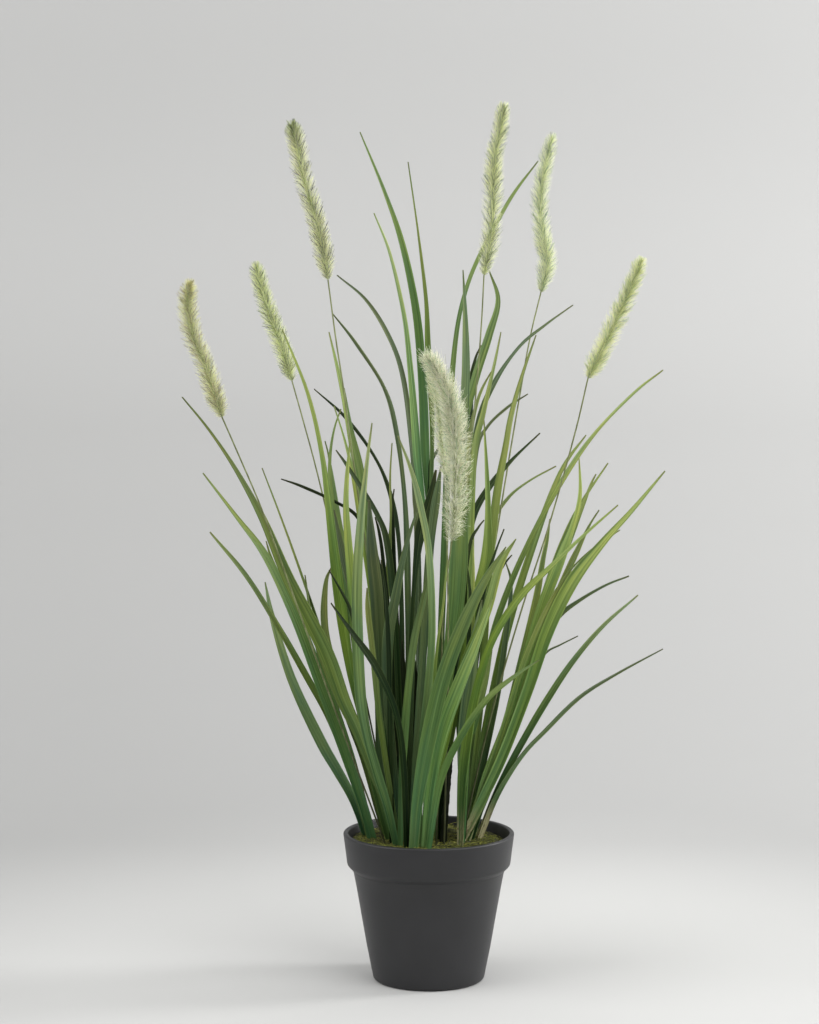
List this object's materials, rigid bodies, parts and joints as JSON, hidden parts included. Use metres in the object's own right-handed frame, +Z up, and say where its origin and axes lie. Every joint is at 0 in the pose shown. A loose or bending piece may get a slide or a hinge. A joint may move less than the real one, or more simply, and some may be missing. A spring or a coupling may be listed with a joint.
{
  "type": "potted ornamental grass",
  "caption": "Artificial ornamental grass with arching strap leaves and bristle plumes on thin stems, set in moss in a tapered pot with a rim band.",
  "frame": {"origin": "middle of the pot's flat underside", "axes": "+Z up along the pot's axis, -Y to the front as pictured, +X to the right seen from the front"},
  "size_m": [0.429, 0.3609, 0.7954],
  "materials": {
    "pot": "matte",
    "filling": "matte",
    "moss": "matte",
    "leaf": "satin",
    "stem": "satin",
    "dark_stem": "satin",
    "plume": "matte"
  },
  "bodies": {
    "root": {"pot": "pot", "filling": "filling", "moss": "moss", "tall_stem": "dark_stem", "main_stem": "dark_stem", "leaf_left_1": "leaf", "leaf_left_2": "leaf", "leaf_left_3": "leaf", "leaf_left_4": "leaf", "leaf_left_5": "leaf", "leaf_mid_left_1": "leaf", "leaf_mid_left_2": "leaf", "leaf_mid_left_3": "leaf", "leaf_mid_left_4": "leaf", "leaf_mid_left_5": "leaf", "leaf_top_1": "leaf", "leaf_top_2": "leaf", "leaf_top_3": "leaf", "leaf_high_1": "leaf", "leaf_high_2": "leaf", "leaf_high_3": "leaf", "leaf_mid_right_1": "leaf", "leaf_mid_right_2": "leaf", "leaf_mid_right_3": "leaf", "leaf_mid_right_4": "leaf", "leaf_mid_right_5": "leaf", "leaf_right_1": "leaf", "leaf_right_2": "leaf", "leaf_right_3": "leaf", "leaf_right_4": "leaf", "leaf_right_5": "leaf", "leaf_right_6": "leaf", "leaf_right_7": "leaf", "leaf_right_8": "leaf", "leaf_front_1": "leaf", "leaf_front_2": "leaf", "leaf_front_3": "leaf", "leaf_front_4": "leaf", "leaf_front_5": "leaf", "leaf_front_6": "leaf", "leaf_front_7": "leaf", "leaf_front_8": "leaf", "leaf_front_9": "leaf", "leaf_front_10": "leaf", "stem_left_outer": "stem", "stem_left_inner": "stem", "stem_left_high": "stem", "stem_centre_high": "stem", "stem_right_high": "stem", "stem_right_outer": "stem", "stem_front_low": "stem", "stem_front_behind": "stem", "plume_left_outer": "plume", "plume_left_inner": "plume", "plume_left_high": "plume", "plume_centre_high": "plume", "plume_right_high": "plume", "plume_right_outer": "plume", "plume_front_low": "plume", "plume_front_behind": "plume"}
  },
  "joints": []
}
